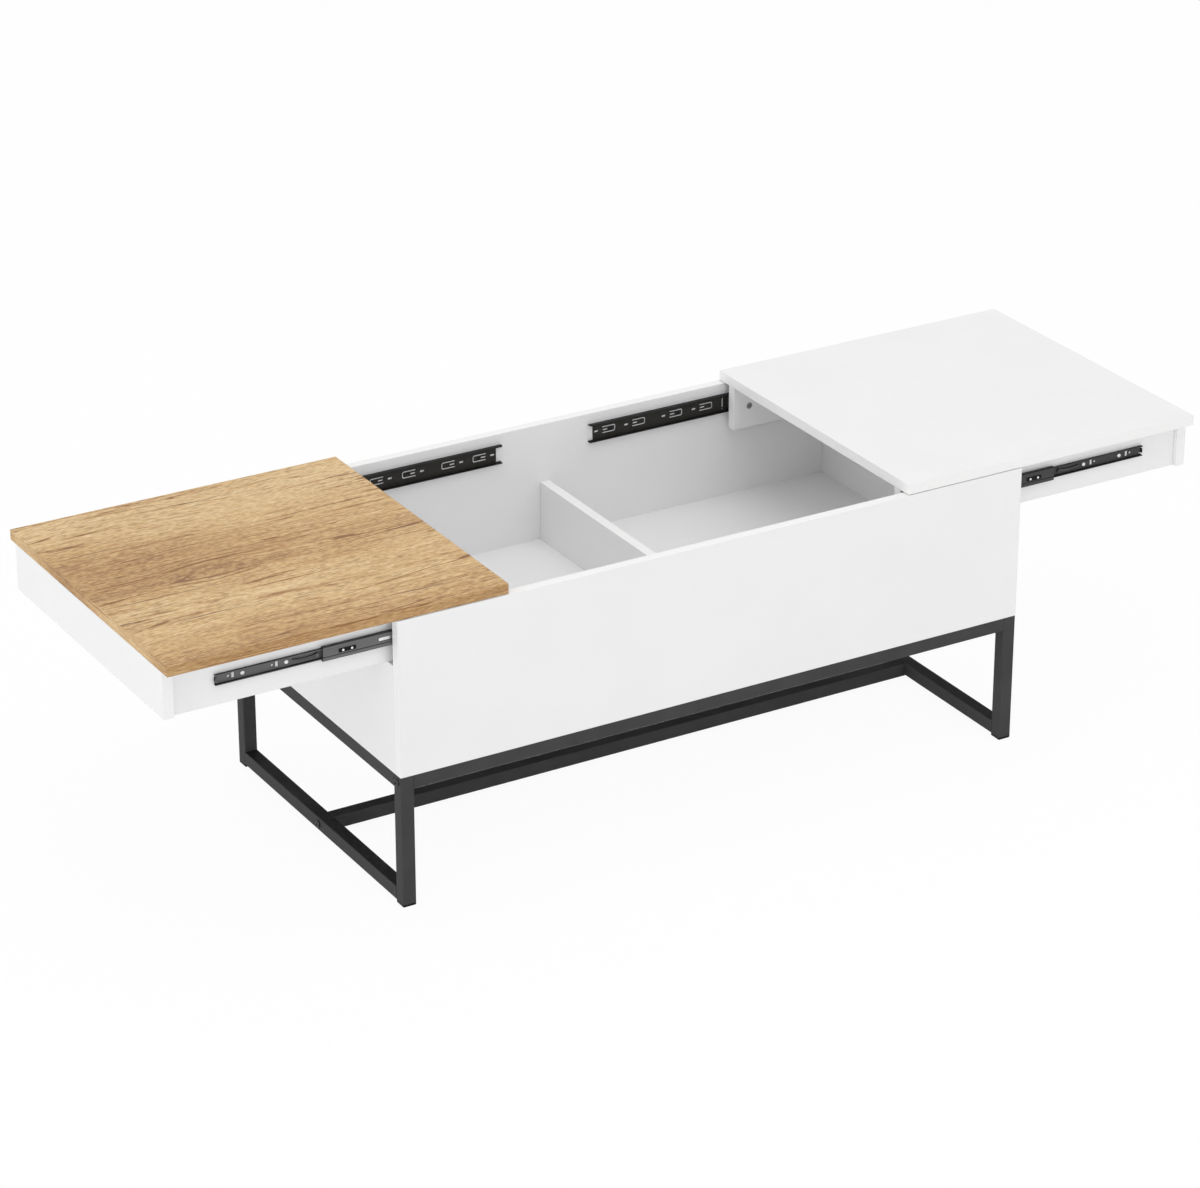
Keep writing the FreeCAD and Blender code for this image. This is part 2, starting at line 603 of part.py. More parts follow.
def flat_screw(x):
    """A countersunk screw, flush in the outer member's web, that goes into the wall board."""
    mouth = spot(SLIDE_SHEET, 0) + X_AXIS * x
    cone = Part.makeCone(SLIDE_SCREW_HEAD_RADIUS, SLIDE_SCREW_RADIUS, SLIDE_SHEET, mouth, Y_AXIS)
    shank = rod(spot(0, 0) + X_AXIS * x, Y_AXIS, SLIDE_SCREW_RADIUS, SCREW_BITE)
    return cone.fuse(shank).removeSplitter().cut(slide_screw_cross(mouth, -Y_AXIS))


def flat_screw_seat(x):
    """The countersink for a flat screw."""
    wide = SLIDE_SCREW_HEAD_RADIUS + SCREW_CLEARANCE
    narrow = SLIDE_SCREW_RADIUS + SCREW_CLEARANCE
    return Part.makeCone(wide, narrow, SLIDE_SHEET, spot(SLIDE_SHEET, 0) + X_AXIS * x, Y_AXIS)


def wall_pilot(x):
    """The hole for a flat screw in the wall board."""
    radius = SLIDE_SCREW_RADIUS + SCREW_CLEARANCE
    return rod(spot(0, 0) + X_AXIS * x, Y_AXIS, radius, SCREW_BITE + SCREW_CLEARANCE)


OUTER_SCREW_PLACES = [SLIDE_START + place + TONGUE_SCREW_OFFSET for place in TONGUE_SCREWED]


def outer_member():
    """The member screwed to the wall board."""
    flange_line = OUTER_FLANGE - SLIDE_SHEET / 2
    member = channel(OUTER_WEB, flange_line, OUTER_LINE, SLIDE_LIP, SLIDE_START, SLIDE_LENGTH)
    middle = SLIDE_START + SLIDE_LENGTH / 2
    plan = web_cut(middle, 0, OUTER_FLANGE, SLIDE_LENGTH, -SLIDE_HEIGHT, SLIDE_HEIGHT)
    tips = [edge for edge in plan.Edges if edge.BoundBox.ZLength > SLIDE_HEIGHT]
    tips = [edge for edge in tips if edge.BoundBox.YMax < WALL_FACE - OUTER_FLANGE / 2]
    member = member.common(plan.makeFillet(OUTER_TIP_ROUND, tips))
    past = SLIDE_SHEET + PAST_SHEET
    room = OUTER_RACE - SLIDE_BEND
    cuts = [web_cut(SLIDE_START, -PAST_SHEET, past, 2 * OUTER_WEB_CUTBACK, -room, room)]

    def slot(x, length, height):
        return web_slot(x, -PAST_SHEET, past, length, -height / 2, height / 2)

    for place in TONGUE_PLACES:
        x = SLIDE_START + place
        cuts.append(tongue_slit(x))
        cuts.append(slot(x - TONGUE_DASH_OFFSET, TONGUE_DASH_LENGTH, TONGUE_DASH_HEIGHT))
        cuts.append(slot(x - TONGUE_SLOT_OFFSET, SMALL_SLOT_LENGTH, SMALL_SLOT_HEIGHT))
    tall_slot = SLIDE_START + TALL_SLOT_PLACE
    cuts.append(slot(tall_slot, TALL_SLOT_WIDTH, TALL_SLOT_HEIGHT))
    cuts.append(slot(SLIDE_START + RELIEF_SLOT_PLACE, TALL_SLOT_WIDTH, RELIEF_SLOT_HEIGHT))
    hole = spot(past, -TALL_SLOT_HOLE_DROP) + X_AXIS * tall_slot
    cuts.append(rod(hole, Y_AXIS, TALL_SLOT_HOLE_RADIUS, past + PAST_SHEET))
    cuts += [flat_screw_seat(x) for x in OUTER_SCREW_PLACES]
    return member.cut(cuts)


def bumper_pins(radius, reach):
    """The two clips that hold the bumper through the middle member's web."""
    x = SLIDE_END - BUMPER_PLACE
    ends = (x - BUMPER_PIN_SPACING / 2, x + BUMPER_PIN_SPACING / 2)
    return [rod(spot(MIDDLE_WEB_BACK, BUMPER_RISE) + X_AXIS * a, -Y_AXIS, radius, reach) for a in ends]


def middle_member():
    """The member between the outer and inner ones, aligned with their outer ends when closed."""
    web = MIDDLE_WEB_BACK + SLIDE_SHEET / 2
    start = SLIDE_END - MIDDLE_LENGTH
    member = channel(web, MIDDLE_FLANGE - SLIDE_SHEET / 2, MIDDLE_LINE, SLIDE_LIP, start, MIDDLE_LENGTH)
    low = MIDDLE_WINDOW_RISE - WINDOW_HEIGHT / 2
    window_x = SLIDE_END - MIDDLE_WINDOW_PLACE
    back = MIDDLE_WEB_BACK - PAST_SHEET
    front = MIDDLE_WEB_FRONT + PAST_SHEET
    high = low + WINDOW_HEIGHT
    cuts = [web_window(window_x, back, front, WINDOW_LENGTH, low, high, WINDOW_CORNER)]
    crease_low = -CREASE_DROP - CREASE_WIDTH / 2
    crease_end = MIDDLE_WEB_BACK + CREASE_DEPTH
    middle = start + MIDDLE_LENGTH / 2
    cuts.append(web_cut(middle, back, crease_end, MIDDLE_LENGTH, crease_low, crease_low + CREASE_WIDTH))
    cuts += bumper_pins(BUMPER_PIN_RADIUS + SCREW_CLEARANCE, SLIDE_SHEET + PAST_SHEET)
    return member.cut(cuts)


def bumper():
    """The plastic stop on the middle member's wall side, with two clips through its web."""
    body = web_cut(
        SLIDE_END - BUMPER_PLACE,
        SLIDE_SHEET + BUMPER_CLEARANCE,
        MIDDLE_WEB_BACK,
        BUMPER_LENGTH,
        BUMPER_RISE - BUMPER_HEIGHT / 2,
        BUMPER_RISE + BUMPER_HEIGHT / 2,
    )
    return body.fuse(bumper_pins(BUMPER_PIN_RADIUS, SLIDE_SHEET)).removeSplitter()


INNER_SCREW_PLACES = [SLIDE_END - place - INNER_SCREW_OFFSET for place in INNER_HOLE_SETS]
INNER_SCREW_PLACES.append(SLIDE_END - INNER_REAR_SCREW)
LEVER_PIVOT = SLIDE_END - LEVER_PLACE
LEVER_NEAR_WEB = INNER_WEB_BACK - LEVER_SIDE_CLEARANCE
RIVET_REACH = LEVER_THICKNESS + 2 * LEVER_SIDE_CLEARANCE


def end_stop():
    """The tab bent up from the outer end of the inner member's web."""
    tip = INNER_WEB_BACK - STOP_REACH
    half = STOP_HEIGHT / 2
    tab = web_cut(SLIDE_END - SLIDE_SHEET / 2, tip, SLIDE_THICKNESS, SLIDE_SHEET, -half, half)
    corners = [edge for edge in tab.Edges if edge.BoundBox.YMin > WALL_FACE - tip - SLIDE_SHEET / 2]
    corners = [edge for edge in corners if edge.BoundBox.XLength > SLIDE_SHEET / 2]
    return tab.makeFillet(STOP_ROUND, corners)


def inner_member():
    """The member screwed to the apron, with its end stop and the rivet that its lever turns on."""
    web = INNER_WEB_BACK + SLIDE_SHEET / 2
    member = channel(web, INNER_LIPS, INNER_LINE, 0, SLIDE_START, SLIDE_LENGTH)
    back = INNER_WEB_BACK - PAST_SHEET
    front = SLIDE_THICKNESS + PAST_SHEET
    tall = INNER_SLOT_HEIGHT / 2
    cuts = []
    for place in INNER_HOLE_SETS:
        hole = spot(back, 0) + X_AXIS * (SLIDE_END - place)
        cuts.append(rod(hole, -Y_AXIS, INNER_HOLE_RADIUS, front - back))
        slot_x = SLIDE_END - place - INNER_SLOT_OFFSET
        cuts.append(web_window(slot_x, back, front, INNER_SLOT_WIDTH, -tall, tall, INNER_SLOT_CORNER))
    for x in INNER_SCREW_PLACES:
        hole = spot(back, 0) + X_AXIS * x
        cuts.append(rod(hole, -Y_AXIS, SLIDE_SCREW_RADIUS + SCREW_CLEARANCE, front - back))
    low = -INNER_WINDOW_DROP - WINDOW_HEIGHT / 2
    window_x = SLIDE_END - INNER_WINDOW_PLACE
    high = low + WINDOW_HEIGHT
    cuts.append(web_window(window_x, back, front, WINDOW_LENGTH, low, high, WINDOW_CORNER))
    for side_low in (STOP_HEIGHT / 2, -STOP_HEIGHT / 2 - STOP_NOTCH_HEIGHT):
        side_high = side_low + STOP_NOTCH_HEIGHT
        cuts.append(web_cut(SLIDE_END, back, front, 2 * STOP_NOTCH_LENGTH, side_low, side_high))
    rivet_root = spot(INNER_WEB_BACK, 0) + X_AXIS * LEVER_PIVOT
    pin = rod(rivet_root, Y_AXIS, LEVER_PIN_RADIUS, RIVET_REACH)
    head = rod(rivet_root + Y_AXIS * RIVET_REACH, Y_AXIS, RIVET_HEAD_RADIUS, RIVET_HEAD_HEIGHT)
    return member.cut(cuts).fuse([end_stop(), pin, head]).removeSplitter()


def pan_screw(x):
    """A pan-head screw through the inner member's web into the apron."""
    seat = spot(INNER_WEB_BACK, 0) + X_AXIS * x
    head = rod(seat, Y_AXIS, SLIDE_SCREW_HEAD_RADIUS, SLIDE_SCREW_HEAD_HEIGHT)
    half_way = seat.y + SLIDE_SCREW_HEAD_HEIGHT / 2
    rim = [edge for edge in head.Edges if edge.Closed and edge.BoundBox.YMin > half_way]
    head = head.makeFillet(SLIDE_SCREW_HEAD_HEIGHT * DOME_SHARE, rim)
    shank = rod(seat, -Y_AXIS, SLIDE_SCREW_RADIUS, SLIDE_SHEET + SCREW_BITE)
    cross = slide_screw_cross(seat + Y_AXIS * SLIDE_SCREW_HEAD_HEIGHT, Y_AXIS)
    return head.fuse(shank).removeSplitter().cut(cross)


def apron_pilot(x):
    """The hole for a pan screw in the apron."""
    mouth = spot(SLIDE_THICKNESS, 0) + X_AXIS * x
    return rod(mouth, -Y_AXIS, SLIDE_SCREW_RADIUS + SCREW_CLEARANCE, SCREW_BITE + SCREW_CLEARANCE)


def ball_cage(back, front, row, ball_u, flange_end, ball, centre, length, count):
    """A cage strip between two members, with a row of balls along its top and bottom flanges."""
    web = (back + front) / 2
    path = [spot(flange_end, row), spot(web, row), spot(web, -row), spot(flange_end, -row)]
    strip = bent_strip(path, CAGE_SHEET, CAGE_SHEET)
    cage = strip.translated(Vector(centre - length / 2, 0, 0)).extrude(X_AXIS * length)
    step = (length - 2 * CAGE_END_MARGIN) / (count - 1)
    first = centre - length / 2 + CAGE_END_MARGIN
    balls = []
    pockets = []
    for i in range(count):
        for level in (-row, row):
            place = spot(ball_u, level) + X_AXIS * (first + i * step)
            balls.append(Part.makeSphere(ball / 2, place))
            pockets.append(rod(place - Z_AXIS * ball, Z_AXIS, ball / 2 + CAGE_POCKET_CLEARANCE, 2 * ball))
    return [cage.cut(pockets)] + balls


OUTER_ROW = (OUTER_RACE + MIDDLE_EDGE) / 2
INNER_ROW = (MIDDLE_RACE + INNER_EDGE) / 2
OUTER_CAGE_CENTRE = SLIDE_END - MIDDLE_LENGTH / 2
INNER_CAGE_CENTRE = SLIDE_END - SLIDE_LENGTH / 2


def outer_cage():
    """The cage whose balls run between the outer and middle members."""
    flange_end = OUTER_BALL_ROW + OUTER_BALL / 2 + CAGE_SHEET
    return ball_cage(
        SLIDE_SHEET,
        MIDDLE_WEB_BACK,
        OUTER_ROW,
        OUTER_BALL_ROW,
        flange_end,
        OUTER_BALL,
        OUTER_CAGE_CENTRE,
        OUTER_CAGE_LENGTH,
        OUTER_CAGE_BALLS,
    )


def inner_cage():
    """The cage whose balls run between the middle and inner members."""
    flange_end = INNER_BALL_ROW + INNER_BALL / 2 + CAGE_SHEET
    return ball_cage(
        MIDDLE_WEB_FRONT,
        INNER_LIPS,
        INNER_ROW,
        INNER_BALL_ROW,
        flange_end,
        INNER_BALL,
        INNER_CAGE_CENTRE,
        INNER_CAGE_LENGTH,
        INNER_CAGE_BALLS,
    )


def release_lever():
    """A plastic lever on the inner member's rivet, with a curved arm that ends in a finger tip."""
    pivot = spot(LEVER_NEAR_WEB, 0) + X_AXIS * LEVER_PIVOT
    eye = rod(pivot, Y_AXIS, LEVER_EYE_RADIUS, LEVER_THICKNESS)
    root = LEVER_ARM_HALF
    upper = Part.Arc(
        pivot + Vector(root, 0, root),
        pivot + Vector(LEVER_REACH / 2, 0, LEVER_WAIST),
        pivot + Vector(LEVER_REACH, 0, LEVER_TIP_HEIGHT),
    ).toShape()
    tip_low = pivot + Vector(LEVER_REACH, 0, LEVER_TIP_HEIGHT - root)
    belly = pivot + Vector(LEVER_REACH / 2, 0, -root)
    lower = Part.Arc(tip_low, belly, pivot + Vector(root, 0, -root)).toShape()
    tip = Part.LineSegment(pivot + Vector(LEVER_REACH, 0, LEVER_TIP_HEIGHT), tip_low).toShape()
    heel = Part.LineSegment(pivot + Vector(root, 0, -root), pivot + Vector(root, 0, root)).toShape()
    arm = Part.Face(Part.Wire([upper, tip, lower, heel])).extrude(Y_AXIS * LEVER_THICKNESS)
    bore = rod(pivot, Y_AXIS, LEVER_PIN_RADIUS + LEVER_PIN_CLEARANCE, LEVER_THICKNESS)
    return eye.fuse(arm).removeSplitter().cut(bore)


# Long walls of the box, drilled for everything that they carry
wall_board = block(-HALF_LENGTH, HALF_LENGTH, WALL_FACE, HALF_DEPTH, FRAME_HEIGHT, BOX_TOP)
wall_pilots = [wall_pilot(x) for x in OUTER_SCREW_PLACES]
wall_cuts = LONG_HOLES + [groove] + [cam.mate_cut for cam in floor_cams]
wall_cuts += both_sides([cam.mate_cut for cam in end_cams] + wall_pilots)
wall_panel = bored(eased(wall_board), wall_cuts)
for face_name, face in FACES.items():
    add(face_name + "_panel", quarter(wall_panel, 1, face))

# Boards of a half top
top_board = eased(
    block(
        TOP_INNER_END,
        TOP_OUTER_END,
        TOP_REVEAL - HALF_DEPTH,
        HALF_DEPTH - TOP_REVEAL,
        TOP_UNDERSIDE,
        TOP_UNDERSIDE + BOARD,
    )
)
top_board = bored(top_board, both_faces([cam.mate_cut for cam in top_cams]))
end_apron = eased(
    block(END_APRON_FACE, TOP_OUTER_END, -END_APRON_HALF, END_APRON_HALF, APRON_BOTTOM, TOP_UNDERSIDE)
)
end_apron = bored(end_apron, both_faces(end_apron_cam.board_cuts))
side_apron = eased(
    block(SIDE_APRON_START, END_APRON_FACE, APRON_INNER_FACE, APRON_FACE, APRON_BOTTOM, TOP_UNDERSIDE)
)
apron_cuts = [cut for cam in side_apron_cams for cut in cam.board_cuts]
side_apron = bored(side_apron, apron_cuts + [apron_pilot(x) for x in INNER_SCREW_PLACES])

# Slides and half tops in their open places
slide_outer = outer_member()
slide_middle = middle_member()
slide_inner = inner_member()
for side_name, side in SIDES.items():
    opened = OPEN[side_name]
    middle_opened = MIDDLE_OPEN[side_name]
    outer_cage_opened = middle_opened / 2
    inner_cage_opened = (opened + middle_opened) / 2
    add(side_name + "_top_board", slid(quarter(top_board, side, 1), side, opened))
    add(side_name + "_end_apron", slid(quarter(end_apron, side, 1), side, opened))
    for face_name, face in FACES.items():
        corner = side_name + "_" + face_name
        add(corner + "_apron", slid(quarter(side_apron, side, face), side, opened))
        for cam in top_cams:
            add(side_name + "_top_cam_locks", slid(quarter(cam.cam, side, face), side, opened))
            add(side_name + "_top_cam_bolts", slid(quarter(cam.bolt, side, face), side, opened))
        add(corner + "_outer_slide", quarter(slide_outer, side, face))
        add(corner + "_middle_slide", slid(quarter(slide_middle, side, face), side, middle_opened))
        add(corner + "_inner_slide", slid(quarter(slide_inner, side, face), side, opened))
        add(corner + "_release_lever", slid(quarter(release_lever(), side, face), side, opened))
        add(side_name + "_slide_bumpers", slid(quarter(bumper(), side, face), side, middle_opened))
        for x in OUTER_SCREW_PLACES:
            add("outer_slide_screws", quarter(flat_screw(x), side, face))
        for x in INNER_SCREW_PLACES:
            add(side_name + "_inner_slide_screws", slid(quarter(pan_screw(x), side, face), side, opened))
        for piece in outer_cage():
            add(side_name + "_outer_ball_cages", slid(quarter(piece, side, face), side, outer_cage_opened))
        for piece in inner_cage():
            add(side_name + "_inner_ball_cages", slid(quarter(piece, side, face), side, inner_cage_opened))

# One file for each node
os.makedirs("parts", exist_ok=True)
for name, shapes in nodes.items():
    solids = [solid for shape in shapes for solid in shape.Solids]
    whole = solids[0] if len(solids) == 1 else Part.makeCompound(solids)
    whole.exportStep(os.path.join("parts", name + ".step"))
    volume = sum(solid.Volume for solid in solids)
    valid = all(solid.isValid() for solid in solids)
    print(name, len(solids), "solids", round(volume, 1), "mm3", "valid" if valid else "NOT VALID")
print(len(nodes), "nodes")
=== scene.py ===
import bpy
import math
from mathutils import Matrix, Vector


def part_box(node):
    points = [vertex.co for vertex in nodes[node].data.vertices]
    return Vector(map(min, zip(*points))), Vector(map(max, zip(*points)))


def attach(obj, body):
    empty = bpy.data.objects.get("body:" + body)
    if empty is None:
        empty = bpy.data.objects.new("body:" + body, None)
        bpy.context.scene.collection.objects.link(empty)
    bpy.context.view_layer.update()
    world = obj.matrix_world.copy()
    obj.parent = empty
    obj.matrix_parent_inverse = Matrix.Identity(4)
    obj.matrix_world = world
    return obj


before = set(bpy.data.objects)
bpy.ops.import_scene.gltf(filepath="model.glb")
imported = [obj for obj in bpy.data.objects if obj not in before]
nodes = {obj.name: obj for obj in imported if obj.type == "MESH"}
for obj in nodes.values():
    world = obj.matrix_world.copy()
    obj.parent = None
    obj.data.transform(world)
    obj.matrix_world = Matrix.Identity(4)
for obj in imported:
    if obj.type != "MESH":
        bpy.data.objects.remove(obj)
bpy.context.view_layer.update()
bpy.ops.object.select_all(action="DESELECT")

# Steel frame: legs, rails and one floor stretcher of square tube with rolled corners.
# The tubes are cut square, bolted together through plugs in their ends and coated with black powder,
# which bakes to a satin skin with a fine pebble; the upper faces are darkened to near black with painted
# shade.
SIDES = ("left", "right")
POWDER_BLACK = (0.055, 0.055, 0.056, 1)
POWDER_CLOUD = (0.063, 0.063, 0.064, 1)
POWDER_EDGE = (0.060, 0.060, 0.061, 1)
POWDER_UPPER_PAINTED_SHADE = (0.012, 0.012, 0.012, 1)
UPPER_SHADE_FACING = (0.8, 0.99)
POWDER_EDGE_SHARE = (0.2, 0.7)
POWDER_ROUGHNESS = (0.50, 0.62)
POWDER_SHINE = 0.06
POWDER_CLOUDS = 18.0
POWDER_PEBBLE = 1100.0
POWDER_DEPTH = 0.00006
EDGE_FACING = (0.995, 0.8)
NOISE_CORE = (0.35, 0.65)
NOISE_BODY = (0.3, 0.7)
PLAIN_NOISE = 1.0
SOFT_NOISE = 2.0
CLOUDY_NOISE = 3.0


def wire(tree, node, sockets):
    """Set a node's sockets to values, or wire them to other nodes."""
    for socket, value in sockets.items():
        if isinstance(value, bpy.types.NodeSocket):
            tree.links.new(value, node.inputs[socket])
        else:
            node.inputs[socket].default_value = value


def add_node(tree, kind, sockets, **settings):
    """A node of a finish, with its settings made and its sockets set or wired."""
    node = tree.nodes.new(kind)
    for setting, value in settings.items():
        setattr(node, setting, value)
    wire(tree, node, sockets)
    return node


def start_finish(name, metallic=0.0):
    """A new finish: its material, node tree, shader and the places on the piece."""
    finish = bpy.data.materials.new(name)
    finish.use_nodes = True
    tree = finish.node_tree
    shader = tree.nodes["Principled BSDF"]
    wire(tree, shader, {"Metallic": metallic})
    return finish, tree, shader, tree.nodes.new("ShaderNodeTexCoord")


def cloud(tree, place, cells, detail=SOFT_NOISE):
    """Soft noise with so many cells to a metre along each axis."""
    spread = add_node(tree, "ShaderNodeMapping", {"Vector": place, "Scale": cells})
    sockets = {"Vector": spread.outputs["Vector"], "Scale": 1.0, "Detail": detail}
    return add_node(tree, "ShaderNodeTexNoise", sockets).outputs["Fac"]


def even_cloud(tree, spots, cells, detail=SOFT_NOISE):
    """Soft noise that is the same size every way."""
    return cloud(tree, spots.outputs["Object"], (cells, cells, cells), detail)


def ranged(tree, value, span, ends=(0.0, 1.0)):
    """A value brought from a span to new ends, and held at them."""
    sockets = {"Value": value, "From Min": span[0], "From Max": span[1], "To Min": ends[0], "To Max": ends[1]}
    return add_node(tree, "ShaderNodeMapRange", sockets).outputs["Result"]


def worked(tree, operation, first, second=0.0):
    """The sum, product or other result of two values."""
    return add_node(tree, "ShaderNodeMath", {0: first, 1: second}, operation=operation).outputs[0]


def tinted(tree, share, under, over):
    """One colour laid over another by a share."""
    return add_node(tree, "ShaderNodeMix", {0: share, 6: under, 7: over}, data_type="RGBA").outputs[2]


def mottled(tree, clouds, tone, other_tone):
    """Two tones that drift into each other with the clouds."""
    return tinted(tree, ranged(tree, clouds, NOISE_CORE), tone, other_tone)


def split(tree, vector):
    """The X, Y and Z of a place or direction."""
    return add_node(tree, "ShaderNodeSeparateXYZ", {0: vector}).outputs


def facing(tree, spots):
    """How squarely the surface faces along X, Y and Z, each from 0 to 1."""
    normal = add_node(tree, "ShaderNodeVectorMath", {0: spots.outputs["Normal"]}, operation="ABSOLUTE")
    return split(tree, normal.outputs[0])


def rounded_edges(tree, spots):
    """1 on the rounded edges of a square-cut piece and 0 on its flat faces."""
    squarely = facing(tree, spots)
    sidewise = worked(tree, "MAXIMUM", squarely[0], squarely[1])
    return ranged(tree, worked(tree, "MAXIMUM", sidewise, squarely[2]), EDGE_FACING)


def relief(tree, shader, height, depth):
    """Fine relief on the surface, so many metres deep."""
    bump = add_node(tree, "ShaderNodeBump", {"Height": height, "Distance": depth})
    wire(tree, shader, {"Normal": bump.outputs["Normal"]})


def dress(finish, *names):
    """Put a finish on CAD pieces."""
    for name in names:
        nodes[name].material_slots[0].material = finish


powder, tree, shader, spots = start_finish("black_powder_coat")
clouds = even_cloud(tree, spots, POWDER_CLOUDS, CLOUDY_NOISE)
coat = mottled(tree, clouds, POWDER_BLACK, POWDER_CLOUD)
# Painted shade: faces that look upward are darkened to near black.
upward = split(tree, spots.outputs["Normal"])[2]
coat = tinted(tree, ranged(tree, upward, UPPER_SHADE_FACING), coat, POWDER_UPPER_PAINTED_SHADE)
thinned = ranged(tree, clouds, NOISE_CORE, POWDER_EDGE_SHARE)
edge = worked(tree, "MULTIPLY", rounded_edges(tree, spots), thinned)
coat = tinted(tree, edge, coat, POWDER_EDGE)
rough = ranged(tree, clouds, NOISE_BODY, POWDER_ROUGHNESS)
wire(tree, shader, {"Base Color": coat, "Roughness": rough, "Specular IOR Level": POWDER_SHINE})
relief(tree, shader, even_cloud(tree, spots, POWDER_PEBBLE, PLAIN_NOISE), POWDER_DEPTH)
dress(powder, "floor_stretcher", "front_long_rail", "back_long_rail")
for side in SIDES:
    dress(powder, side + "_cross_rail", side + "_floor_rail")
    dress(powder, side + "_front_leg", side + "_back_leg")

# Foot glides: black moulded plastic feet with a fine spark-eroded grain, pushed into the legs.
# The same plastic makes the bumpers on the middle slide members, and the release levers, which turn
# on a rivet and whose flat faces carry a painted grey sheen.
PLASTIC_BLACK = (0.006, 0.006, 0.006, 1)
PLASTIC_CLOUD = (0.011, 0.011, 0.012, 1)
LEVER_PAINTED_SHEEN = (0.085, 0.085, 0.086, 1)
PLASTIC_FLAT = (0.97, 0.995)
PLASTIC_ROUGHNESS = (0.40, 0.52)
PLASTIC_SHINE = 0.12
PLASTIC_CLOUDS = 60.0
PLASTIC_SPARKS = 2500.0
PLASTIC_DEPTH = 0.00003


def moulded_plastic(name, flat_tone):
    """Black plastic finish whose faces along the table may be painted another tone, as a painted sheen."""
    finish, tree, shader, spots = start_finish(name)
    clouds = even_cloud(tree, spots, PLASTIC_CLOUDS, CLOUDY_NOISE)
    skin = mottled(tree, clouds, PLASTIC_BLACK, PLASTIC_CLOUD)
    skin = tinted(tree, ranged(tree, facing(tree, spots)[1], PLASTIC_FLAT), skin, flat_tone)
    rough = ranged(tree, clouds, NOISE_BODY, PLASTIC_ROUGHNESS)
    wire(tree, shader, {"Base Color": skin, "Roughness": rough, "Specular IOR Level": PLASTIC_SHINE})
    relief(tree, shader, even_cloud(tree, spots, PLASTIC_SPARKS, PLAIN_NOISE), PLASTIC_DEPTH)
    return finish


plastic = moulded_plastic("black_moulded_plastic", PLASTIC_BLACK)
# The levers' flat faces get a painted sheen of lighter grey.
sheen_lever_plastic = moulded_plastic("lever_plastic_painted_sheen", LEVER_PAINTED_SHEEN)
dress(plastic, "foot_glides", "left_slide_bumpers", "right_slide_bumpers")
for side in SIDES:
    dress(sheen_lever_plastic, side + "_front_release_lever", side + "_back_release_lever")

# Frame bolts and outer slide screws: turned steel with a black oxide skin, rubbed brighter on the rims.
# The bolts draw the tubes onto the plugs in their ends, and the screws hold the outer slide members
# to the walls of the box.
OXIDE_BLACK = (0.022, 0.022, 0.023, 1)
OXIDE_RUBBED = (0.10, 0.10, 0.10, 1)
OXIDE_METAL = 0.6
OXIDE_ROUGHNESS = (0.32, 0.48)
OXIDE_WEAR = 700.0
OXIDE_CLOUDS = 300.0
oxide, tree, shader, spots = start_finish("black_oxide_steel", OXIDE_METAL)
wear = worked(tree, "MULTIPLY", rounded_edges(tree, spots), even_cloud(tree, spots, OXIDE_WEAR))
skin = tinted(tree, wear, OXIDE_BLACK, OXIDE_RUBBED)
rough = ranged(tree, even_cloud(tree, spots, OXIDE_CLOUDS), NOISE_BODY, OXIDE_ROUGHNESS)
wire(tree, shader, {"Base Color": skin, "Roughness": rough})
dress(oxide, "frame_bolts", "outer_slide_screws")

# Bright fasteners and ball cages: turned and pressed steel with bright zinc plate, faintly clouded.
# Screws hold the box to the frame and the inner slide members to the aprons, plugs take the frame
# bolts, cam bolts join the boards, and the cages carry the balls of the slides.
ZINC_LIGHT = (0.91, 0.91, 0.90, 1)
ZINC_CLOUD = (0.80, 0.80, 0.79, 1)
ZINC_METAL = 1.0
ZINC_ROUGHNESS = (0.24, 0.4)
ZINC_CLOUDS = 350.0
zinc, tree, shader, spots = start_finish("bright_zinc_plate", ZINC_METAL)
clouds = even_cloud(tree, spots, ZINC_CLOUDS, CLOUDY_NOISE)
rough = ranged(tree, clouds, NOISE_BODY, ZINC_ROUGHNESS)
wire(tree, shader, {"Base Color": mottled(tree, clouds, ZINC_LIGHT, ZINC_CLOUD), "Roughness": rough})
dress(zinc, "box_fixing_screws", "rail_nut_plugs", "box_cam_bolts")
for side in SIDES:
    dress(zinc, side + "_top_cam_bolts", side + "_inner_slide_screws")
    dress(zinc, side + "_outer_ball_cages", side + "_inner_ball_cages")

# Bumper rivets: two bright steel rivets hold each slide bumper to its middle member.
# Their low domed heads sit in the bumper's outer face and stand a hair proud of it.
RIVET_RADIUS = 0.0015
RIVET_PITCH = 0.013
RIVET_SUNK = 0.0004
RIVET_RIM = 0.0001
RIVET_STEPS = ((0.0004, 0.0001), (0.0006, 0.00005))
RIVET_SIDES = 32
RIVET_SMOOTHING = math.radians(40)
UPPER_FACE = 0.9


def select_only(*pieces):
    """Select these pieces and nothing else, with the first one active."""
    bpy.ops.object.select_all(action="DESELECT")
    for piece in pieces:
        piece.select_set(True)
    bpy.context.view_layer.objects.active = pieces[0]


def rivet_head():
    """One low domed rivet head at the origin, facing up."""
    bpy.ops.object.select_all(action="DESELECT")
    bpy.ops.mesh.primitive_cylinder_add(
        vertices=RIVET_SIDES,
        radius=RIVET_RADIUS,
        depth=RIVET_RIM + RIVET_SUNK,
        location=(0, 0, (RIVET_RIM - RIVET_SUNK) / 2),
    )
    head = bpy.context.object
    for polygon in head.data.polygons:
        polygon.select = polygon.normal.z > UPPER_FACE
    bpy.ops.object.mode_set(mode="EDIT")
    bpy.ops.mesh.select_mode(type="FACE")
    for width, rise in RIVET_STEPS:
        bpy.ops.mesh.inset(thickness=width, depth=rise)
    bpy.ops.object.mode_set(mode="OBJECT")
    bpy.ops.object.shade_smooth_by_angle(angle=RIVET_SMOOTHING)
    return head


